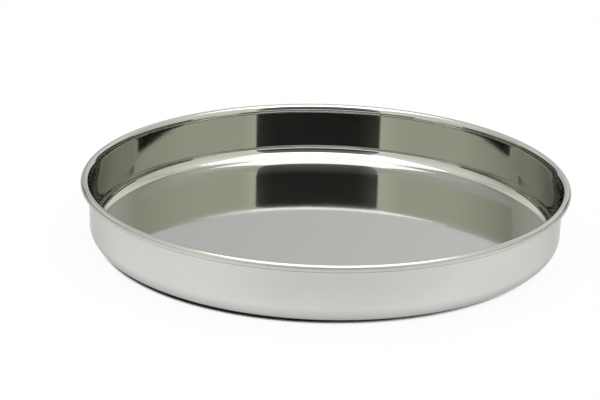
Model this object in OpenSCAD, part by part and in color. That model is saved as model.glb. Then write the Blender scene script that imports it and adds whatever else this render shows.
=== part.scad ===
// Round steel thali plate: one pressed sheet dish whose lip flares out and rolls over a wire.
// The origin is on the table under the middle of the plate, with +Z up and lengths in millimetres.

/* [Plate] */
// Diameter across the rolled rim
rim_diameter = 300; // [200:1:380]
// Height from the table to the top of the rim
plate_height = 39; // [28:0.5:70]
// Thickness of the steel sheet
sheet_thickness = 0.6; // [0.4:0.05:1.2]

/* [Floor] */
// Radius on the inside of the gentle bend that lifts the edge of the flat floor
floor_bend_radius = 150; // [100:5:200]
// Slope of the floor where it runs into the corner, in degrees
floor_slope = 8.5; // [1:0.5:12]

/* [Wall] */
// Radius on the inside of the corner between floor and wall
corner_radius = 8.7; // [3:0.1:14]
// Outward lean of the wall from upright, in degrees
wall_lean = 0.5; // [0:0.5:8]

/* [Rim] */
// Radius on the inside of the gentle flare above the wall
flare_radius = 11.5; // [9:0.5:18]
// Lean of the sheet from upright where the flare tightens into the lip, in degrees
lip_lean = 11; // [6:1:20]
// Radius on the inside of the lip above the flare
lip_radius = 5.7; // [4.5:0.1:8]
// Lean of the sheet from upright where the lip runs into the roll, in degrees
roll_lean = 36; // [26:1:45]
// Diameter of the wire inside the roll
wire_diameter = 3.4; // [2:0.1:4]
// Gap left all round between the wire and the roll
wire_clearance = 0.1; // [0.05:0.05:0.2]
// Gap left between the rolled edge and the back of the flare
edge_gap = 0.3; // [0.1:0.05:0.6]

/* [Hidden] */
// Fineness of the turned surfaces
$fn = 180;
// Widest step along a bend of the sheet, in degrees
bend_step = 4;

// The roll: its outer radius and its centre, where the wire lies
roll_radius = wire_diameter / 2 + wire_clearance + sheet_thickness;
roll_centre = [rim_diameter / 2 - roll_radius, plate_height - roll_radius];

// The lip and the flare: their centres lie outside the dish, and each inner face runs smoothly into the next
lip_centre = roll_centre - (lip_radius - roll_radius) * facing(roll_lean);
flare_centre = lip_centre - (flare_radius - lip_radius) * facing(lip_lean);

// Lean of the sheet from upright where the floor bend meets the corner
corner_lean = 90 - floor_slope;

// The wall: its inner face runs from the corner up to the flare
wall_top = flare_centre + flare_radius * facing(wall_lean);
floor_rise = floor_bend_radius * (1 - sin(corner_lean));
corner_rise = corner_radius * (sin(corner_lean) - sin(wall_lean));
wall_foot_z = sheet_thickness + floor_rise + corner_rise;
wall_foot = [wall_top[0] - (wall_top[1] - wall_foot_z) * tan(wall_lean), wall_foot_z];

// The corner and the floor bend: their centres lie inside the dish
corner_centre = wall_foot + corner_radius * facing(wall_lean);
floor_bend_centre = corner_centre + (floor_bend_radius - corner_radius) * facing(corner_lean);

// The roll ends where its outer face comes within edge_gap of the back of the flare
flare_to_roll = roll_centre - flare_centre;
edge_reach = flare_radius - sheet_thickness - edge_gap;
edge_cosine = (pow(edge_reach, 2) - pow(norm(flare_to_roll), 2) - pow(roll_radius, 2))
    / (2 * norm(flare_to_roll) * roll_radius);
edge_lean = 360 + atan2(flare_to_roll[1], -flare_to_roll[0]) - acos(edge_cosine);

// Direction that the inner face looks in where the sheet leans outward by the given angle:
// 0 looks at the axis, 90 looks up and 180 looks away from the plate
function facing(lean) = [-cos(lean), sin(lean)];

// Points along a bend, between two leans; a bend round a centre inside the dish has a negative radius
function bend(centre, radius, from, to) =
    let (steps = ceil(abs(to - from) / bend_step))
    [for (step = [0 : steps]) centre + radius * facing(from + (to - from) * step / steps)];

// The points of a list but its first
function after_first(points) = [for (i = [1 : len(points) - 1]) points[i]];

// A list of points in the opposite order
function reversed(points) = [for (i = [len(points) - 1 : -1 : 0]) points[i]];

// One face of the sheet in section, from the axis to the rolled edge, at a depth below the inner face
function sheet_face(depth) = concat(
    [[0, sheet_thickness - depth]],
    bend(floor_bend_centre, -floor_bend_radius - depth, 90, corner_lean),
    after_first(bend(corner_centre, -corner_radius - depth, corner_lean, wall_lean)),
    bend(flare_centre, flare_radius - depth, wall_lean, lip_lean),
    after_first(bend(lip_centre, lip_radius - depth, lip_lean, roll_lean)),
    after_first(bend(roll_centre, roll_radius - depth, roll_lean, edge_lean))
);

// Dish pressed from one sheet: flat floor with a lifted edge, upright wall, flared lip and roll
module pressed_dish() {
    color("silver")
        rotate_extrude()
            polygon(concat(sheet_face(0), reversed(sheet_face(sheet_thickness))));
}

// Wire ring that the roll closes over
module rim_wire() {
    color("darkgray")
        rotate_extrude()
            translate(roll_centre) circle(d = wire_diameter);
}

pressed_dish();
rim_wire();
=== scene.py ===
"""Polished steel thali plate: a pressed dish with a flared lip rolled over a wire, on a pale table."""

import math
from typing import NamedTuple

import bmesh
import bpy
from mathutils import Matrix, Vector


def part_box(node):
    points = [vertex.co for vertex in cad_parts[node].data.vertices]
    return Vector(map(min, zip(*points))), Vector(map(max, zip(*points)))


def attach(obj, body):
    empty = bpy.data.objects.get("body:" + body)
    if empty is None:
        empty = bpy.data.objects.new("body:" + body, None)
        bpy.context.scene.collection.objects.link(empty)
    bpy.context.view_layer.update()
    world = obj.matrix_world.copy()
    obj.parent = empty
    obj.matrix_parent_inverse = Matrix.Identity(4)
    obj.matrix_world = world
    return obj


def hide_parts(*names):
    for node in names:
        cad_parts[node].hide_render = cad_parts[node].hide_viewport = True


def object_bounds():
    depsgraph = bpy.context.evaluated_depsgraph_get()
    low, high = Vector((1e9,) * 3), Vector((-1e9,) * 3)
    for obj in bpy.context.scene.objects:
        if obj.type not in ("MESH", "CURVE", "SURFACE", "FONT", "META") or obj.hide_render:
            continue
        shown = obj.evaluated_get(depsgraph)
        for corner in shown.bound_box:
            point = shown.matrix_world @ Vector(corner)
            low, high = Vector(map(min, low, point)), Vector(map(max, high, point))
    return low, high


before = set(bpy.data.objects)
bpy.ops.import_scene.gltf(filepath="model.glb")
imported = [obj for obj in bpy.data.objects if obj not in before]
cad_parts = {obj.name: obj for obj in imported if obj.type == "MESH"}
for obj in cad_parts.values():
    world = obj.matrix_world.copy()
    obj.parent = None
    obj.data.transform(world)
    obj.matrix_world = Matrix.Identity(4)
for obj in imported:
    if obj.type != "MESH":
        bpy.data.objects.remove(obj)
CAD_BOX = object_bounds()
DISH_LOW, DISH_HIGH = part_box("pressed_dish")

bl_info = {
    "name": "Thali plate",
    "version": (1, 0, 0),
    "blender": (4, 5, 0),
    "location": "3D View > Sidebar > Plate",
    "description": "Models a polished steel thali plate with a rolled rim, its table and its lights",
    "category": "Object",
}


# Sizes and colours that a user would change


class PlateSizes(bpy.types.PropertyGroup):
    """Sizes of the pressed sheet"""

    rim_diameter: bpy.props.FloatProperty(
        name="Rim diameter",
        description="Diameter across the rolled rim",
        default=DISH_HIGH.x - DISH_LOW.x,
        unit="LENGTH",
    )
    plate_height: bpy.props.FloatProperty(
        name="Plate height",
        description="Height from the base to the top of the rim",
        default=DISH_HIGH.z - DISH_LOW.z,
        unit="LENGTH",
    )
    sheet_thickness: bpy.props.FloatProperty(
        name="Sheet thickness",
        description="Thickness of the steel sheet",
        default=0.0006,
        unit="LENGTH",
        precision=5,
    )
    floor_bend_radius: bpy.props.FloatProperty(
        name="Floor bend radius",
        description="Radius on the inside of the gentle bend that lifts the edge of the flat floor",
        default=0.150,
        unit="LENGTH",
    )
    floor_slope: bpy.props.FloatProperty(
        name="Floor slope",
        description="Slope of the floor where it runs into the corner",
        default=math.radians(8.5),
        subtype="ANGLE",
    )
    corner_radius: bpy.props.FloatProperty(
        name="Corner radius",
        description="Radius on the inside of the corner between floor and wall",
        default=0.0087,
        unit="LENGTH",
        precision=5,
    )
    wall_lean: bpy.props.FloatProperty(
        name="Wall lean",
        description="Outward lean of the wall from upright",
        default=math.radians(0.5),
        subtype="ANGLE",
    )
    flare_radius: bpy.props.FloatProperty(
        name="Flare radius",
        description="Radius on the inside of the gentle flare above the wall",
        default=0.0115,
        unit="LENGTH",
        precision=5,
    )
    lip_lean: bpy.props.FloatProperty(
        name="Lip lean",
        description="Lean of the sheet from upright where the flare tightens into the lip",
        default=math.radians(11.0),
        subtype="ANGLE",
    )
    lip_radius: bpy.props.FloatProperty(
        name="Lip radius",
        description="Radius on the inside of the lip above the flare",
        default=0.0057,
        unit="LENGTH",
        precision=5,
    )
    roll_lean: bpy.props.FloatProperty(
        name="Roll lean",
        description="Lean of the sheet from upright where the lip runs into the roll",
        default=math.radians(36.0),
        subtype="ANGLE",
    )
    roll_radius: bpy.props.FloatProperty(
        name="Roll radius",
        description="Radius of the outside of the rolled lip",
        default=0.0024,
        unit="LENGTH",
        precision=5,
    )
    edge_gap: bpy.props.FloatProperty(
        name="Edge gap",
        description="Gap left between the rolled edge and the back of the flare",
        default=0.0003,
        unit="LENGTH",
        precision=5,
    )
    turns: bpy.props.IntProperty(
        name="Steps round the plate",
        description="Number of faces round the axis",
        default=384,
        min=64,
    )


class SteelFinish(bpy.types.PropertyGroup):
    """Colour and polish of the steel"""

    sheet_colour: bpy.props.FloatVectorProperty(
        name="Sheet colour",
        description="Colour of the polished sheet",
        default=(0.62, 0.62, 0.605),
        subtype="COLOR",
        min=0.0,
        max=1.0,
    )
    sheet_edge_tint: bpy.props.FloatVectorProperty(
        name="Sheet edge tint",
        description="Tint of the sheet where it is seen at a glancing angle",
        default=(0.70, 0.70, 0.69),
        subtype="COLOR",
        min=0.0,
        max=1.0,
    )
    sheet_roughness: bpy.props.FloatProperty(
        name="Sheet roughness",
        description="Roughness of the polished sheet where it is cleanest",
        default=0.04,
        subtype="FACTOR",
        min=0.0,
        max=1.0,
    )
    satin_roughness: bpy.props.FloatProperty(
        name="Satin roughness",
        description="Roughness that the satin outside has over the polished inside",
        default=0.12,
        subtype="FACTOR",
        min=0.0,
        max=1.0,
    )
    satin_colour: bpy.props.FloatVectorProperty(
        name="Satin colour",
        description="Colour of the satin outside",
        default=(0.65, 0.65, 0.622),
        subtype="COLOR",
        min=0.0,
        max=1.0,
    )
    roll_roughness: bpy.props.FloatProperty(
        name="Roll roughness",
        description="Roughness that the rubbed outside of the roll has over the satin",
        default=0.28,
        subtype="FACTOR",
        min=0.0,
        max=1.0,
    )
    wire_colour: bpy.props.FloatVectorProperty(
        name="Wire colour",
        description="Colour of the drawn wire inside the roll",
        default=(0.42, 0.42, 0.41),
        subtype="COLOR",
        min=0.0,
        max=1.0,
    )


class StudioSettings(bpy.types.PropertyGroup):
    """Table, light and camera"""

    camera_distance: bpy.props.FloatProperty(
        name="Camera distance",
        description="Distance from the camera to the middle of the plate",
        default=1.270,
        unit="LENGTH",
    )
    camera_elevation: bpy.props.FloatProperty(
        name="Camera elevation",
        description="Angle of the camera above the table",
        default=math.radians(20.1),
        subtype="ANGLE",
    )
    camera_turn: bpy.props.FloatProperty(
        name="Camera turn",
        description="Turn of the camera to the left of the plate's middle",
        default=math.radians(0.703),
        subtype="ANGLE",
    )
    camera_tip: bpy.props.FloatProperty(
        name="Camera tip",
        description="Tip of the camera above the plate's middle",
        default=math.radians(0.13),
        subtype="ANGLE",
    )
    camera_roll: bpy.props.FloatProperty(
        name="Camera roll",
        description="Roll of the camera about its own line of sight",
        default=math.radians(1.593),
        subtype="ANGLE",
    )
    camera_lens: bpy.props.FloatProperty(
        name="Camera lens",
        description="Focal length in millimetres",
        default=123.3,
    )
    mirror_bounces: bpy.props.IntProperty(
        name="Mirror bounces",
        description="How often light is followed from wall to wall inside the plate",
        default=24,
        min=4,
    )
    contact_reach: bpy.props.FloatProperty(
        name="Contact reach",
        description="How far from the plate the table is dark under its edge",
        default=0.0035,
        unit="LENGTH",
    )
    table_gap: bpy.props.FloatProperty(
        name="Table gap",
        description="Gap left between the plate and the table",
        default=0.0002,
        unit="LENGTH",
        precision=5,
    )
    table_colour: bpy.props.FloatVectorProperty(
        name="Table colour",
        description="Colour of the table",
        default=(0.80, 0.80, 0.80),
        subtype="COLOR",
        min=0.0,
        max=1.0,
    )


# Meshes

FLOOR_RINGS = 4
FLOOR_BEND_STEPS = 12
CORNER_STEPS = 26
FLARE_STEPS = 6
LIP_STEPS = 8
ROLL_STEPS = 42
MERGE_DISTANCE = 1e-7


def extrude_to(bm, vert, place):
    """Draws an edge from vert to place, an (x, z) pair in the section, and returns its end."""
    new = bmesh.ops.extrude_vert_indiv(bm, verts=[vert])["verts"][0]
    bmesh.ops.translate(bm, verts=[new], vec=Vector((place[0], 0.0, place[1])) - new.co)
    return new


def spin_to(bm, vert, centre, angle, steps):
    """Draws an arc from vert about centre, an (x, z) pair, and returns its end."""
    middle = Vector((centre[0], 0.0, centre[1]))
    made = bmesh.ops.spin(
        bm, geom=[vert], cent=middle, axis=(0.0, 1.0, 0.0), angle=angle, steps=steps
    )
    return made["geom_last"][0]


def facing(lean):
    """Direction, in the section, that the inner face looks in where the sheet leans outward by lean."""
    return Vector((-math.cos(lean), math.sin(lean)))


def new_object(name, bm, material):
    """Turns bm into a smooth object with one material."""
    mesh = bpy.data.meshes.new(name)
    bm.to_mesh(mesh)
    bm.free()
    mesh.shade_smooth()
    mesh.materials.append(material)
    piece = bpy.data.objects.new(name, mesh)
    bpy.context.scene.collection.objects.link(piece)
    return piece


def dish_section(bm, sizes):
    """Draws the inner face of the sheet in section, from the axis out to the rolled edge."""
    sheet = sizes.sheet_thickness

    # Centres of the bends from the roll inward, each face running smoothly into the next
    rim_corner = Vector((sizes.rim_diameter / 2, sizes.plate_height))
    roll_centre = rim_corner - Vector((1, 1)) * sizes.roll_radius
    lip_centre = roll_centre - (sizes.lip_radius - sizes.roll_radius) * facing(sizes.roll_lean)
    flare_centre = lip_centre - (sizes.flare_radius - sizes.lip_radius) * facing(sizes.lip_lean)

    corner_lean = math.pi / 2 - sizes.floor_slope
    wall_top = flare_centre + sizes.flare_radius * facing(sizes.wall_lean)
    floor_rise = sizes.floor_bend_radius * (1 - math.sin(corner_lean))
    corner_rise = sizes.corner_radius * (math.sin(corner_lean) - math.sin(sizes.wall_lean))
    wall_run = Vector((math.tan(sizes.wall_lean), 1.0))
    wall_foot = wall_top - wall_run * (wall_top.y - sheet - floor_rise - corner_rise)
    corner_centre = wall_foot + sizes.corner_radius * facing(sizes.wall_lean)
    bend_to_corner = sizes.floor_bend_radius - sizes.corner_radius
    floor_bend_centre = corner_centre + bend_to_corner * facing(corner_lean)

    # The roll ends where its outer face comes within edge_gap of the back of the flare
    flare_to_roll = roll_centre - flare_centre
    edge_reach = sizes.flare_radius - sheet - sizes.edge_gap
    edge_cosine = (edge_reach ** 2 - flare_to_roll.length_squared - sizes.roll_radius ** 2) / (
        2 * flare_to_roll.length * sizes.roll_radius
    )
    edge_lean = 2 * math.pi + math.atan2(flare_to_roll.y, -flare_to_roll.x) - math.acos(edge_cosine)

    # Rings one sheet's thickness from the bends keep the shading of the floor and the wall flat
    flat_radius = floor_bend_centre.x - sheet
    tip = bm.verts.new((0.0, 0.0, sheet))
    for ring in range(1, FLOOR_RINGS + 1):
        tip = extrude_to(bm, tip, (flat_radius * ring / FLOOR_RINGS, sheet))
    tip = extrude_to(bm, tip, (floor_bend_centre.x, sheet))
    tip = spin_to(bm, tip, floor_bend_centre, -sizes.floor_slope, FLOOR_BEND_STEPS)
    tip = spin_to(bm, tip, corner_centre, sizes.wall_lean - corner_lean, CORNER_STEPS)
    tip = extrude_to(bm, tip, wall_foot + wall_run * sheet)
    tip = extrude_to(bm, tip, wall_top - wall_run * sheet)
    tip = extrude_to(bm, tip, wall_top)
    tip = spin_to(bm, tip, flare_centre, sizes.lip_lean - sizes.wall_lean, FLARE_STEPS)
    tip = spin_to(bm, tip, lip_centre, sizes.roll_lean - sizes.lip_lean, LIP_STEPS)
    spin_to(bm, tip, roll_centre, edge_lean - sizes.roll_lean, ROLL_STEPS)


def revolve(bm, steps):
    """Spins everything in bm once round the plate's axis and closes its pole."""
    bmesh.ops.spin(
        bm,
        geom=bm.verts[:] + bm.edges[:],
        cent=(0.0, 0.0, 0.0),
        axis=(0.0, 0.0, 1.0),
        angle=2 * math.pi,
        steps=steps,
        use_merge=True,
    )
    bmesh.ops.remove_doubles(bm, verts=bm.verts[:], dist=MERGE_DISTANCE)
    bmesh.ops.recalc_face_normals(bm, faces=bm.faces[:])


# Materials


class Nodes:
    """Short calls that fill one node tree."""

    def __init__(self, tree):
        self.tree = tree
        tree.nodes.clear()

    def add(self, kind, **settings):
        """Adds a node with the given settings."""
        node = self.tree.nodes.new(kind)
        for name, value in settings.items():
            setattr(node, name, value)
        return node

    def give(self, socket, value):
        """Gives an input a link or a plain value."""
        if isinstance(value, bpy.types.NodeSocket):
            self.tree.links.new(value, socket)
        else:
            socket.default_value = value

    def fill(self, node, values):
        """Gives a node's inputs their links or plain values, in order."""
        for socket, value in zip(node.inputs, values):
            self.give(socket, value)

    def math(self, operation, *values):
        """Works out a number from numbers."""
        node = self.add("ShaderNodeMath", operation=operation)
        self.fill(node, values)
        return node.outputs[0]

    def vector(self, operation, *values):
        """Works out a vector, a length or a dot product from vectors."""
        node = self.add("ShaderNodeVectorMath", operation=operation)
        self.fill(node, values)
        return node.outputs["Value" if operation in ("LENGTH", "DOT_PRODUCT") else "Vector"]

    def parts(self, value):
        """Splits a vector into its X, Y and Z."""
        node = self.add("ShaderNodeSeparateXYZ")
        self.give(node.inputs[0], value)
        return node.outputs

    def noise(self, place, scale, detail):
        """Noise at a place, around one half."""
        node = self.add("ShaderNodeTexNoise")
        self.give(node.inputs["Vector"], place)
        self.give(node.inputs["Scale"], scale)
        self.give(node.inputs["Detail"], detail)
        return node.outputs["Fac"]

    def spread(self, value, span, results):
        """Turns the two ends of a span into two results, and holds the results beyond its ends."""
        node = self.add("ShaderNodeMapRange")
        self.give(node.inputs["Value"], value)
        self.give(node.inputs["From Min"], span[0])
        self.give(node.inputs["From Max"], span[1])
        self.give(node.inputs["To Min"], results[0])
        self.give(node.inputs["To Max"], results[1])
        return node.outputs["Result"]

    def mix(self, share, first, second):
        """Mixes two colours, by the share of the second."""
        node = self.add("ShaderNodeMix", data_type="RGBA")
        self.give(node.inputs["Factor"], share)
        self.give(node.inputs["A"], first)
        self.give(node.inputs["B"], second)
        return node.outputs["Result"]

    def surface(self, shader):
        """Makes a shader the surface of the material."""
        self.give(self.add("ShaderNodeOutputMaterial").inputs["Surface"], shader)

    def metal(self):
        """Adds a metal shader as the surface."""
        shader = self.add("ShaderNodeBsdfPrincipled")
        self.give(shader.inputs["Metallic"], 1.0)
        self.surface(shader.outputs["BSDF"])
        return shader


def new_material(name):
    """Starts a material, and returns it with the calls that fill its node tree."""
    material = bpy.data.materials.new(name)
    material.use_nodes = True
    return material, Nodes(material.node_tree)


def opaque(colour):
    """Adds to a colour the alpha that a colour socket asks for."""
    return (*colour, 1.0)


# Marks on the sheet and painted shade: scales are per metre, heights and reaches in metres, dullness
# and shade a share of black

BLACK = (0.0, 0.0, 0.0)
OUTSIDE_BLEND = (-0.2, 0.2)
TURNING_LINES = 1500.0
TURNING_LINE_DETAIL = 3.0
TURNING_LINE_LEVELS = (0.3, 0.7)
TURNING_LINE_ROUGHENING = 1.5
RIDGE_STRENGTH = 0.012
RIDGE_HEIGHT = 0.0001
HAIRLINE_SCALE = 42.0
HAIRLINE_DETAIL = 1.0
HAIRLINE_STRETCH = (1.0, 3.0, 3.0)
HAIRLINE_WIDTH = 0.006
HAIRLINE_ROUGHNESS = 0.05
SMUDGE_SCALE = 14.0
SMUDGE_DETAIL = 3.0
SMUDGE_STRETCH = (1.0, 1.0, 1.6)
SMUDGE_ROUGH_LEVELS = (0.45, 0.75)
SMUDGE_ROUGHNESS = 0.03
SMUDGE_DULLNESS = 0.035
CLOUD_SCALE = 60.0
CLOUD_DETAIL = 5.0
CLOUD_DULLNESS = 0.02
PATCH_LEVELS = (0.4, 0.7)
RUBBED_HEIGHTS = (0.0335, 0.0355)
# Painted shade on the outside: at the foot, and on the front of the wall
FOOT_SHADE_HEIGHTS = (0.002, 0.011)
FOOT_SHADE_DEPTH = 0.38
FRONT_SHADE_PLACE = (0.005, -0.14, 0.028)
FRONT_SHADE_STRETCH = (1.0, 1.0, 3.5)
FRONT_SHADE_REACH = 0.085
FRONT_SHADE_DEPTH = 0.18


def polished_sheet(finish):
    """Stainless sheet, mirror bright inside and satin outside, with lines, hairlines, smudges and
    painted shade.
    """
    material, nodes = new_material("polished_sheet")
    steel = nodes.metal()
    nodes.give(steel.inputs["Specular Tint"], opaque(finish.sheet_edge_tint))

    # Where a point lies on the plate, and which side of the sheet it is on
    coords = nodes.add("ShaderNodeTexCoord")
    place = coords.outputs["Object"]
    normal = coords.outputs["Normal"]
    height = nodes.parts(place)["Z"]
    flat_place = nodes.vector("MULTIPLY", place, (1.0, 1.0, 0.0))
    outward = nodes.vector("NORMALIZE", flat_place)
    radius = nodes.vector("LENGTH", flat_place)
    facing_out = nodes.vector("DOT_PRODUCT", normal, outward)
    facing_down = nodes.math("MULTIPLY", nodes.parts(normal)["Z"], -1.0)
    outside = nodes.spread(nodes.math("ADD", facing_out, facing_down), OUTSIDE_BLEND, (0.0, 1.0))

    # Turning lines round the plate, smudges, finer clouds and hairlines
    across_lines = nodes.add("ShaderNodeCombineXYZ")
    nodes.give(across_lines.inputs["Z"], nodes.math("ADD", radius, height))
    line_scale = (0.0, 0.0, TURNING_LINES)
    line_place = nodes.vector("MULTIPLY_ADD", across_lines.outputs[0], line_scale, outward)
    lines = nodes.noise(line_place, 1.0, TURNING_LINE_DETAIL)
    smudge_place = nodes.vector("MULTIPLY", place, SMUDGE_STRETCH)
    smudges = nodes.noise(smudge_place, SMUDGE_SCALE, SMUDGE_DETAIL)
    cloud = nodes.noise(place, CLOUD_SCALE, CLOUD_DETAIL)
    hair_place = nodes.vector("MULTIPLY", place, HAIRLINE_STRETCH)
    hair_field = nodes.noise(hair_place, HAIRLINE_SCALE, HAIRLINE_DETAIL)
    from_hair = nodes.math("ABSOLUTE", nodes.math("SUBTRACT", hair_field, 0.5))
    hairline = nodes.spread(from_hair, (0.0, HAIRLINE_WIDTH), (1.0, 0.0))

    # Roughness, with a satin outside and a rubbed roll
    rubbed = nodes.spread(height, RUBBED_HEIGHTS, (0.0, finish.roll_roughness))
    satin = nodes.math("MULTIPLY", outside, nodes.math("ADD", rubbed, finish.satin_roughness))
    handled = nodes.spread(smudges, SMUDGE_ROUGH_LEVELS, (0.0, SMUDGE_ROUGHNESS))
    line_roughness = (finish.sheet_roughness, finish.sheet_roughness * TURNING_LINE_ROUGHENING)
    grain = nodes.spread(lines, TURNING_LINE_LEVELS, line_roughness)
    rough = nodes.math("ADD", nodes.math("ADD", grain, satin), handled)
    scratched = nodes.math("MULTIPLY", hairline, HAIRLINE_ROUGHNESS)
    nodes.give(steel.inputs["Roughness"], nodes.math("ADD", rough, scratched))

    # Colour: random dull patches, and painted shade outside, at the foot and on the front of the wall
    # Painted shade at the foot, for the mirrored shadow of the table under the plate's edge
    painted_foot_shade = nodes.spread(height, FOOT_SHADE_HEIGHTS, (FOOT_SHADE_DEPTH, 0.0))
    smudge_patch = nodes.spread(smudges, PATCH_LEVELS, (0.0, SMUDGE_DULLNESS))
    cloud_patch = nodes.spread(cloud, PATCH_LEVELS, (0.0, CLOUD_DULLNESS))
    patch = nodes.math("ADD", smudge_patch, cloud_patch)
    # Painted shade on the front of the outside wall, for a darker mirrored table in front of the plate
    from_front_shade = nodes.vector("MULTIPLY", nodes.vector("SUBTRACT", place, FRONT_SHADE_PLACE), FRONT_SHADE_STRETCH)
    painted_front_shade = nodes.spread(nodes.vector("LENGTH", from_front_shade), (0.0, FRONT_SHADE_REACH), (FRONT_SHADE_DEPTH, 0.0))
    dullness_and_shade = nodes.math("ADD", nodes.math("ADD", painted_foot_shade, painted_front_shade), patch)
    dull_and_shade = nodes.math("MULTIPLY", outside, dullness_and_shade)
    bare = nodes.mix(outside, opaque(finish.sheet_colour), opaque(finish.satin_colour))
    nodes.give(steel.inputs["Base Color"], nodes.mix(dull_and_shade, bare, opaque(BLACK)))

    ridges = nodes.add("ShaderNodeBump")
    nodes.give(ridges.inputs["Strength"], RIDGE_STRENGTH)
    nodes.give(ridges.inputs["Distance"], RIDGE_HEIGHT)
    nodes.give(ridges.inputs["Height"], lines)
    nodes.give(steel.inputs["Normal"], ridges.outputs["Normal"])
    return material


WIRE_GRAIN_SCALE = 3000.0
WIRE_GRAIN_DETAIL = 2.0
WIRE_GRAIN_LEVELS = (0.3, 0.7)
WIRE_ROUGHNESS = (0.25, 0.45)


def drawn_wire(finish):
    """Plain drawn steel wire, with the fine grain that the die leaves on it."""
    material, nodes = new_material("drawn_wire")
    steel = nodes.metal()
    nodes.give(steel.inputs["Base Color"], opaque(finish.wire_colour))
    place = nodes.add("ShaderNodeTexCoord").outputs["Object"]
    grain = nodes.noise(place, WIRE_GRAIN_SCALE, WIRE_GRAIN_DETAIL)
    nodes.give(steel.inputs["Roughness"], nodes.spread(grain, WIRE_GRAIN_LEVELS, WIRE_ROUGHNESS))
    return material


# Table: the shadow's edge is in shares of open sky, and its span in metres from the plate's axis

TABLE_RADIUS = 3.0
TABLE_SEGMENTS = 96
TABLE_WHITE = 0.94
SHADOW_SAMPLES = 16
SHADOW_EDGE = (0.30, 0.45)
SHADOW_SPAN = 0.15
SHADOW_LEAN = 0.135


def table_material(studio):
    """Matt table that the camera and the steel see as plain white, with the plate's shadow on it."""
    material, nodes = new_material("table_white")
    matt = nodes.add("ShaderNodeBsdfDiffuse")
    nodes.give(matt.inputs["Color"], opaque(studio.table_colour))

    # The shadow under the edge is wider on the left than on the right
    contact = nodes.add("ShaderNodeAmbientOcclusion", samples=SHADOW_SAMPLES)
    nodes.give(contact.inputs["Distance"], studio.contact_reach)
    aside = nodes.parts(nodes.add("ShaderNodeTexCoord").outputs["Object"])["X"]
    lean = nodes.spread(aside, (-SHADOW_SPAN, SHADOW_SPAN), (-SHADOW_LEAN, SHADOW_LEAN))
    openness = nodes.math("ADD", contact.outputs["AO"], lean)
    white = nodes.add("ShaderNodeEmission")
    nodes.give(white.inputs["Strength"], nodes.spread(openness, SHADOW_EDGE, (0.0, 1.0)))

    path = nodes.add("ShaderNodeLightPath")
    seen = path.outputs["Is Camera Ray"]
    for ray in ("Is Glossy Ray", "Is Transmission Ray"):
        seen = nodes.math("MAXIMUM", seen, path.outputs[ray])
    both = nodes.add("ShaderNodeMixShader")
    nodes.fill(both, (nodes.math("MULTIPLY", seen, TABLE_WHITE), matt.outputs[0], white.outputs[0]))
    nodes.surface(both.outputs[0])
    return material


def set_table(studio):
    """Round table just under the plate."""
    bm = bmesh.new()
    bmesh.ops.create_circle(bm, cap_ends=True, radius=TABLE_RADIUS, segments=TABLE_SEGMENTS)
    bmesh.ops.translate(bm, verts=bm.verts[:], vec=(0.0, 0.0, -studio.table_gap))
    table = new_object("table", bm, table_material(studio))


# Screens round the plate, which the steel mirrors

DOME_RADIUS = 10.0
SCREEN_STEPS_UP = 16
SCREEN_STEPS_ROUND = 48


class Fade(NamedTuple):
    """Change of a glow along an axis: two places on it, in dome radii, and the glow's share at each."""

    axis: str
    start: float
    end: float
    start_share: float
    end_share: float


def glow_material(name, colour, fades=()):
    """Plain glow, changed by its fades."""
    material, nodes = new_material(name)
    place = nodes.parts(nodes.add("ShaderNodeTexCoord").outputs["Object"])
    level = 1.0
    for fade in fades:
        span = (fade.start * DOME_RADIUS, fade.end * DOME_RADIUS)
        share = nodes.spread(place[fade.axis], span, (fade.start_share, fade.end_share))
        level = nodes.math("MULTIPLY", share, level)
    glow = nodes.add("ShaderNodeEmission")
    nodes.give(glow.inputs["Color"], opaque(colour))
    nodes.give(glow.inputs["Strength"], level)
    nodes.surface(glow.outputs[0])
    return material


def dome_screen(name, around, up, colour, fades=()):
    """Glowing screen on a dome, by its turns from the camera side and its heights, in degrees."""
    bm = bmesh.new()
    low = math.radians(up[0])
    start = bm.verts.new((0.0, -DOME_RADIUS * math.cos(low), DOME_RADIUS * math.sin(low)))
    bmesh.ops.spin(
        bm,
        geom=[start],
        cent=(0, 0, 0),
        axis=(-1, 0, 0),
        angle=math.radians(up[1] - up[0]),
        steps=SCREEN_STEPS_UP,
    )
    turn = Matrix.Rotation(math.radians(around[0]), 3, "Z")
    bmesh.ops.rotate(bm, verts=bm.verts[:], cent=(0, 0, 0), matrix=turn)
    bmesh.ops.spin(
        bm,
        geom=bm.verts[:] + bm.edges[:],
        cent=(0, 0, 0),
        axis=(0, 0, 1),
        angle=math.radians(around[1] - around[0]),
        steps=SCREEN_STEPS_ROUND,
    )
    screen = new_object(name, bm, glow_material(name, colour, fades))
    screen.visible_camera = False


def softbox(low, high, colour):
    """Flat softbox overhead, between two (x, y) corners given as shares of its height."""
    height = DOME_RADIUS / 2
    bm = bmesh.new()
    bmesh.ops.create_grid(bm, x_segments=1, y_segments=1, size=0.5)
    size = Vector((high[0] - low[0], high[1] - low[1], 1.0)) * height
    bmesh.ops.scale(bm, verts=bm.verts[:], vec=size)
    middle = Vector((low[0] + high[0], low[1] + high[1], 2.0)) * height / 2
    bmesh.ops.translate(bm, verts=bm.verts[:], vec=middle)
    lamp = new_object("softbox", bm, glow_material("softbox", colour))
    lamp.visible_camera = False


# Turns of the screens' ends from the camera side, in degrees

GAP_LEFT = -27.5
GAP_RIGHT = 37.0
KERB_END = 45.0
PANEL_END = 58.0
NEAR_FOOT_END = 72.0
CEILING_SEAM = 110.0
FLAT_END = 113.0
BACKDROP_START = 150.0

# Heights of the screens' ends above the table, in degrees

TABLE_LEVEL = 0.0
KERB_TOP = 7.2
FOOT_TOP = 13.0
REAR_FOOT_TOP = 17.0
SHOULDER = 27.0
CEILING = 51.0
OVERHEAD = 90.0

# Colours and fades of the screens

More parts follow.
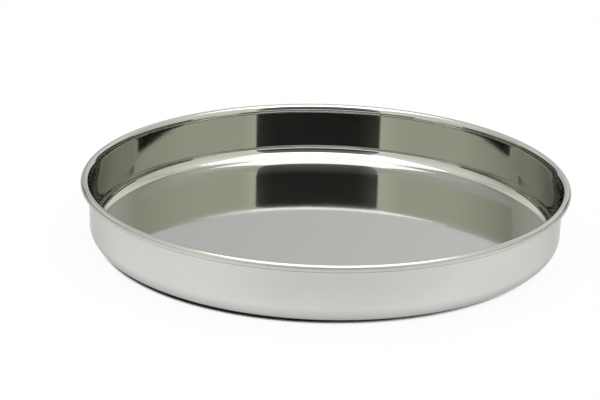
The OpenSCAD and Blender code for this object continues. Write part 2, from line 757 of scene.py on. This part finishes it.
KERB_GLOW = (0.05, 0.05, 0.045)
APRON_GLOW = (1.12, 1.14, 1.02)
GAP_GLOW = (0.0195, 0.0213, 0.0190)
GAP_FADES = (
    Fade("Z", 0.287, 0.301, 1.0, 1.7),
    Fade("Z", 0.35, 0.49, 1.0, 4.0),
    Fade("Z", 0.49, 0.72, 1.0, 1.8),
    Fade("X", -0.27, -0.45, 1.0, 3.2),
    Fade("X", 0.44, 0.57, 1.0, 2.0),
)
PANEL_GLOW = (0.82, 0.845, 0.68)
PANEL_EDGE_SHARE = 1.2
NEAR_FOOT_GLOW = (0.60, 0.61, 0.52)
FAR_FOOT_GLOW = (0.20, 0.205, 0.175)
FAR_FOOT_FADE = Fade("Z", 0.08, 0.12, 1.0, 0.2)
FLAT_FADE_END = 0.309
SHOULDER_FADES = (Fade("Z", 0.559, 0.777, 1.0, 1.25), Fade("Y", -0.1, 0.2, 1.0, 0.88))
REAR_FOOT_GLOW = (0.1, 0.1, 0.085)
REAR_GLOW = (0.70, 0.72, 0.62)
REAR_FADE = Fade("Y", 0.40, 0.70, 0.95, 1.35)
BACKDROP_GLOW = (0.80, 0.80, 0.80)
BACKDROP_FADE = Fade("X", -0.16, 0.16, 0.87, 1.15)
CEILING_LEFT_GLOW = (0.94, 0.94, 0.87)
CEILING_RIGHT_GLOW = (1.07, 1.07, 1.0)
CEILING_BACK_GLOW = (0.82, 0.82, 0.77)
SOFTBOX_GLOW = (2.8, 2.8, 2.8)


def front_screens():
    """Dark gap in front of the plate, above a bright apron and a dark kerb."""
    gap = (GAP_LEFT, GAP_RIGHT)
    dome_screen("front_kerb", (-KERB_END, KERB_END), (TABLE_LEVEL, KERB_TOP), KERB_GLOW)
    dome_screen("front_apron", gap, (KERB_TOP, FOOT_TOP), APRON_GLOW)
    dome_screen("front_gap", gap, (FOOT_TOP, CEILING), GAP_GLOW, GAP_FADES)


def side_screens(name, side, gap_end, bright_edge, rear_share, shoulder_glow):
    """Screens from the gap round to the backdrop, where side is 1 on the right and -1 on the left.

    The panel is brightest at the gap and plain beyond bright_edge, two places in dome radii.
    The flat falls to rear_share of its glow at the rear, and the shoulder above has its own glow.
    """

    def screen(part, start, end, up, colour, *fades):
        around = sorted((side * start, side * end))
        dome_screen(name + part, around, up, colour, fades)

    edge_fade = Fade("X", side * bright_edge[0], side * bright_edge[1], PANEL_EDGE_SHARE, 1.0)
    flat_fade = Fade("Y", -FLAT_FADE_END, FLAT_FADE_END, 1.0, rear_share)
    screen("_panel", gap_end, PANEL_END, (KERB_TOP, SHOULDER), PANEL_GLOW, edge_fade)
    screen("_panel_foot", KERB_END, PANEL_END, (TABLE_LEVEL, KERB_TOP), PANEL_GLOW)
    screen("_flat", PANEL_END, FLAT_END, (FOOT_TOP, SHOULDER), PANEL_GLOW, flat_fade)
    screen("_near_foot", PANEL_END, NEAR_FOOT_END, (TABLE_LEVEL, FOOT_TOP), NEAR_FOOT_GLOW)
    screen("_far_foot", NEAR_FOOT_END, FLAT_END, (TABLE_LEVEL, FOOT_TOP), FAR_FOOT_GLOW, FAR_FOOT_FADE)
    screen("_shoulder", gap_end, FLAT_END, (SHOULDER, CEILING), shoulder_glow, *SHOULDER_FADES)
    screen("_rear_foot", FLAT_END, BACKDROP_START, (TABLE_LEVEL, REAR_FOOT_TOP), REAR_FOOT_GLOW)
    screen("_rear", FLAT_END, BACKDROP_START, (REAR_FOOT_TOP, CEILING), REAR_GLOW, REAR_FADE)


def rear_screens():
    """Backdrop behind the plate."""
    around = (BACKDROP_START, 360 - BACKDROP_START)
    dome_screen("backdrop", around, (TABLE_LEVEL, CEILING), BACKDROP_GLOW, (BACKDROP_FADE,))


def ceiling_screens():
    """Ceiling in three parts, with the softbox under it."""
    up = (CEILING, OVERHEAD)
    dome_screen("ceiling_left", (-CEILING_SEAM, 0), up, CEILING_LEFT_GLOW)
    dome_screen("ceiling_right", (0, CEILING_SEAM), up, CEILING_RIGHT_GLOW)
    dome_screen("ceiling_back", (CEILING_SEAM, 360 - CEILING_SEAM), up, CEILING_BACK_GLOW)
    softbox(low=(-0.53, -0.74), high=(0.575, 0.28), colour=SOFTBOX_GLOW)


def white_world():
    """Plain white room beyond the screens."""
    world = bpy.data.worlds.new("white_room")
    bpy.context.scene.world = world
    world.use_nodes = True
    room = world.node_tree.nodes["Background"]
    room.inputs["Color"].default_value = (1.0, 1.0, 1.0, 1.0)
    room.inputs["Strength"].default_value = 1.0


def aim_camera(scene, studio):
    """Camera that looks down at the plate, turned, tipped and rolled about its own axes."""
    middle = Vector((0.0, 0.0, (CAD_BOX[0][2] + CAD_BOX[1][2]) / 2))
    camera = bpy.data.objects.new("camera", bpy.data.cameras.new("camera"))
    scene.collection.objects.link(camera)
    camera.data.lens = studio.camera_lens
    aim = Matrix.Rotation(math.pi / 2 - studio.camera_elevation, 4, "X")
    place = Matrix.Translation(middle + aim.to_3x3() @ Vector((0, 0, studio.camera_distance)))
    turn = Matrix.Rotation(studio.camera_turn, 4, "Y")
    tip = Matrix.Rotation(studio.camera_tip, 4, "X")
    roll = Matrix.Rotation(studio.camera_roll, 4, "Z")
    camera.matrix_world = place @ aim @ turn @ tip @ roll
    scene.camera = camera


# Operators


class PLATE_OT_pressed_dish(bpy.types.Operator):
    """Model the dish that is pressed from one sheet"""

    bl_idname = "plate.pressed_dish"
    bl_label = "Pressed dish"

    def execute(self, context):
        sizes = context.scene.plate_sizes
        bm = bmesh.new()
        dish_section(bm, sizes)
        revolve(bm, sizes.turns)
        bmesh.ops.solidify(bm, geom=bm.faces[:], thickness=sizes.sheet_thickness)
        piece = new_object("polished_dish", bm, polished_sheet(context.scene.steel_finish))
        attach(piece, "root")
        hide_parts("pressed_dish")
        return {"FINISHED"}


class PLATE_OT_rim_wire(bpy.types.Operator):
    """Give the wire inside the roll its finish"""

    bl_idname = "plate.rim_wire"
    bl_label = "Rim wire"

    def execute(self, context):
        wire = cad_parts["rim_wire"]
        wire.data.materials.clear()
        wire.data.materials.append(drawn_wire(context.scene.steel_finish))
        return {"FINISHED"}


class PLATE_OT_studio(bpy.types.Operator):
    """Set the table, the lights and the camera"""

    bl_idname = "plate.studio"
    bl_label = "Studio"

    def execute(self, context):
        scene = context.scene
        studio = scene.studio_settings
        set_table(studio)
        white_world()
        front_screens()
        side_screens(
            "left",
            side=-1,
            gap_end=-GAP_LEFT,
            bright_edge=(0.45, 0.62),
            rear_share=0.66,
            shoulder_glow=(0.82, 0.835, 0.76),
        )
        side_screens(
            "right",
            side=1,
            gap_end=GAP_RIGHT,
            bright_edge=(0.575, 0.67),
            rear_share=0.82,
            shoulder_glow=(0.82, 0.84, 0.71),
        )
        rear_screens()
        ceiling_screens()
        aim_camera(scene, studio)
        scene.view_settings.view_transform = "Standard"
        scene.cycles.max_bounces = studio.mirror_bounces
        scene.cycles.glossy_bounces = studio.mirror_bounces
        return {"FINISHED"}


class PLATE_PT_panel(bpy.types.Panel):
    """Buttons and sizes for the thali plate"""

    bl_label = "Thali plate"
    bl_idname = "PLATE_PT_panel"
    bl_space_type = "VIEW_3D"
    bl_region_type = "UI"
    bl_category = "Plate"

    def draw(self, context):
        for group_name, group in GROUPS.items():
            box = self.layout.box()
            for name in group.__annotations__:
                box.prop(getattr(context.scene, group_name), name)
        for operator in OPERATORS:
            self.layout.operator(operator.bl_idname)


GROUPS = {
    "plate_sizes": PlateSizes,
    "steel_finish": SteelFinish,
    "studio_settings": StudioSettings,
}
OPERATORS = (PLATE_OT_pressed_dish, PLATE_OT_rim_wire, PLATE_OT_studio)


def register():
    """Registers the classes and hangs the settings on the scene."""
    for cls in (*GROUPS.values(), *OPERATORS, PLATE_PT_panel):
        bpy.utils.register_class(cls)
    for name, group in GROUPS.items():
        setattr(bpy.types.Scene, name, bpy.props.PointerProperty(type=group))


def unregister():
    """Takes the settings and the classes away again."""
    for name in GROUPS:
        delattr(bpy.types.Scene, name)
    for cls in (PLATE_PT_panel, *OPERATORS, *GROUPS.values()):
        bpy.utils.unregister_class(cls)


def main():
    """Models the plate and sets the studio."""
    register()
    bpy.ops.plate.pressed_dish()
    bpy.ops.plate.rim_wire()
    bpy.ops.plate.studio()


if __name__ == "__main__":
    main()
